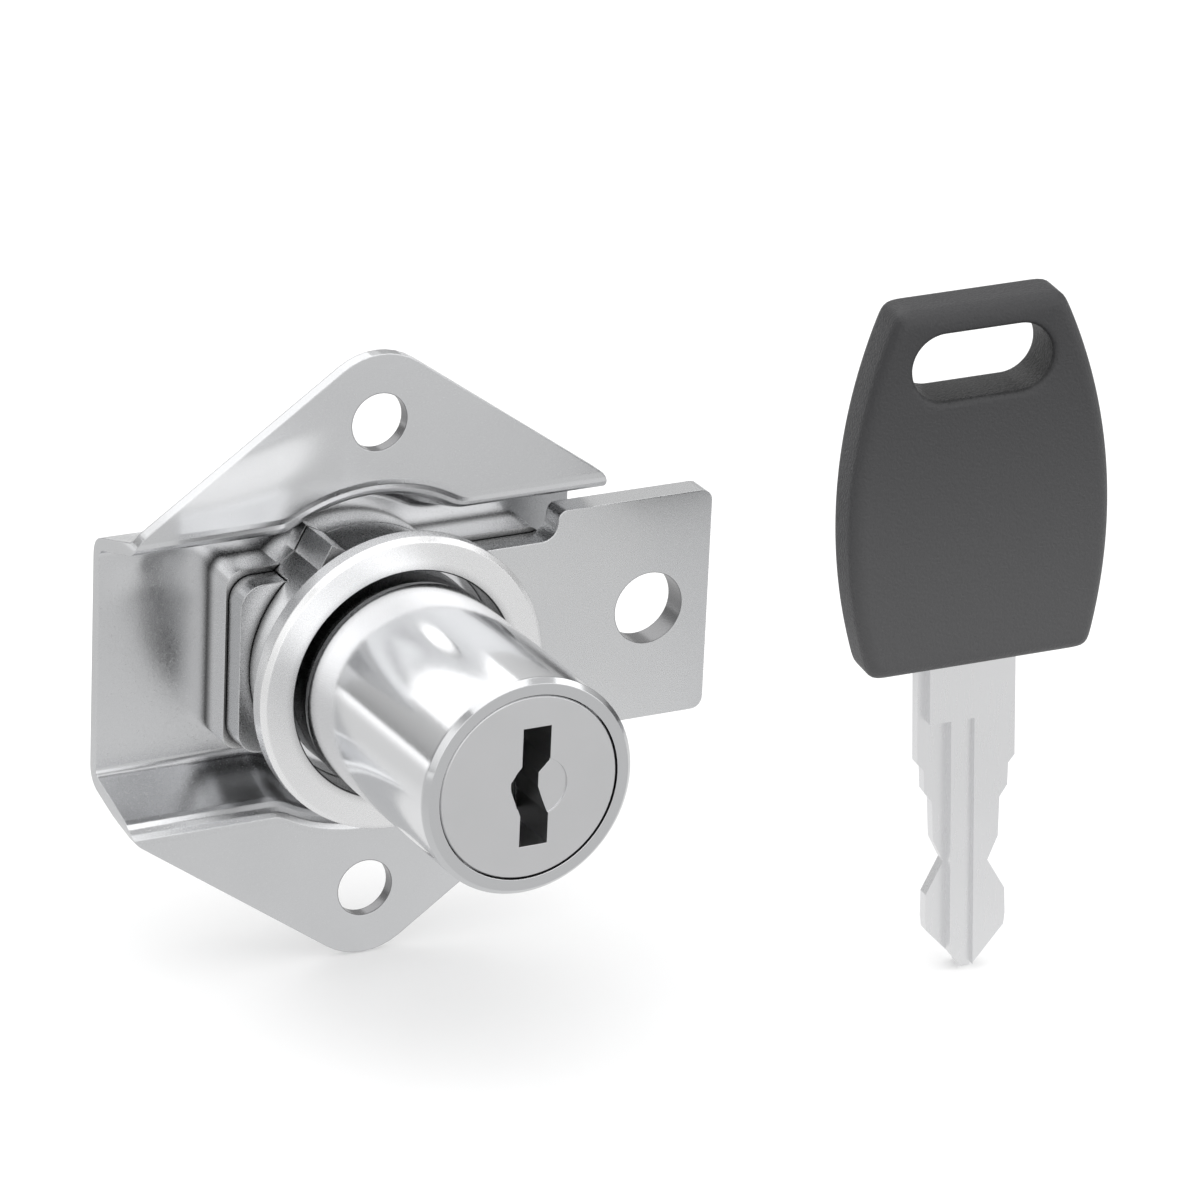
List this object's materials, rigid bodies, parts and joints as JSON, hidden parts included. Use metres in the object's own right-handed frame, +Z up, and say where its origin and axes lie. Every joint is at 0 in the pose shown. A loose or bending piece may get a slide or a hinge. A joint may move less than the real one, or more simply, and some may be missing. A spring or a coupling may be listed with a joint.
{
  "type": "cabinet lock",
  "caption": "Cabinet lock with a stamped diamond mounting plate, round barrel, collar, turning wafer plug, sliding bolt with a holed tab, and its moulded key.",
  "frame": {"origin": "midway between the two screw holes, on the barrel's axis, in the front plane of the mounting plate's halves", "axes": "+Y along the barrel's axis towards the back of the lock, +Z up towards the upper screw hole, +X the way the bolt moves out; millimetres in the source, metres here"},
  "size_m": [0.0665, 0.0327, 0.0525],
  "materials": {
    "plate_nickel": "satin nickel plate with soft reflections",
    "cast_nickel": "satin nickel plated zinc casting",
    "barrel_chrome": "polished, with a satin front rim",
    "plug_nickel": "satin face",
    "bolt_nickel": "satin nickel plate",
    "wafer_brass": "stamped, bright",
    "spring_steel": "drawn wire",
    "small_steel": "zinc plated",
    "key_nickel": "nickel plated, fine satin",
    "key_plastic": "dark grey, finely grained"
  },
  "bodies": {
    "case": {"mounting_plate": "plate_nickel", "base_block": "cast_nickel", "lock_housing": "cast_nickel", "housing_rivets": "small_steel", "collar_ring": "cast_nickel", "barrel": "barrel_chrome", "barrel_pin": "small_steel"},
    "plug": {"plug_core": "plug_nickel", "wafer_springs": "spring_steel", "drive_disc": "small_steel", "crank_pin": "small_steel", "disc_screw": "small_steel"},
    "wafer_a": {"wafer_1": "wafer_brass"},
    "wafer_b": {"wafer_2": "wafer_brass"},
    "wafer_c": {"wafer_3": "wafer_brass"},
    "wafer_d": {"wafer_4": "wafer_brass"},
    "wafer_e": {"wafer_5": "wafer_brass"},
    "bolt": {"bolt": "bolt_nickel"},
    "key": {"key_blade": "key_nickel", "key_head": "key_plastic"}
  },
  "joints": [
    {"name": "plug_turn", "type": "hinge", "parent": "case", "child": "plug", "pos_m": [0, -0.012, 0], "axis": [0, 1, 0], "range_deg": [0, 90]},
    {"name": "bolt_slide", "type": "slide", "parent": "case", "child": "bolt", "axis": [1, 0, 0], "range_m": [0, 0.007]},
    {"name": "wafer_1_lift", "type": "slide", "parent": "plug", "child": "wafer_a", "axis": [0, 0, 1], "range_m": [0, 0.0007]},
    {"name": "wafer_2_lift", "type": "slide", "parent": "plug", "child": "wafer_b", "axis": [0, 0, -1], "range_m": [0, 0.0007]},
    {"name": "wafer_3_lift", "type": "slide", "parent": "plug", "child": "wafer_c", "axis": [0, 0, 1], "range_m": [0, 0.0007]},
    {"name": "wafer_4_lift", "type": "slide", "parent": "plug", "child": "wafer_d", "axis": [0, 0, -1], "range_m": [0, 0.0007]},
    {"name": "wafer_5_lift", "type": "slide", "parent": "plug", "child": "wafer_e", "axis": [0, 0, 1], "range_m": [0, 0.0007]},
    {"name": "key_lift", "type": "slide", "parent": "case", "child": "key", "axis": [0, 0, 1], "range_m": [0, 0.06]}
  ],
  "couplings": [
    {"joint": "plug_turn", "follows": "bolt_slide", "rad_per_m": 224.4},
    {"joint": "wafer_2_lift", "follows": "wafer_1_lift", "ratio": 1},
    {"joint": "wafer_3_lift", "follows": "wafer_1_lift", "ratio": 1},
    {"joint": "wafer_4_lift", "follows": "wafer_1_lift", "ratio": 1},
    {"joint": "wafer_5_lift", "follows": "wafer_1_lift", "ratio": 1}
  ]
}
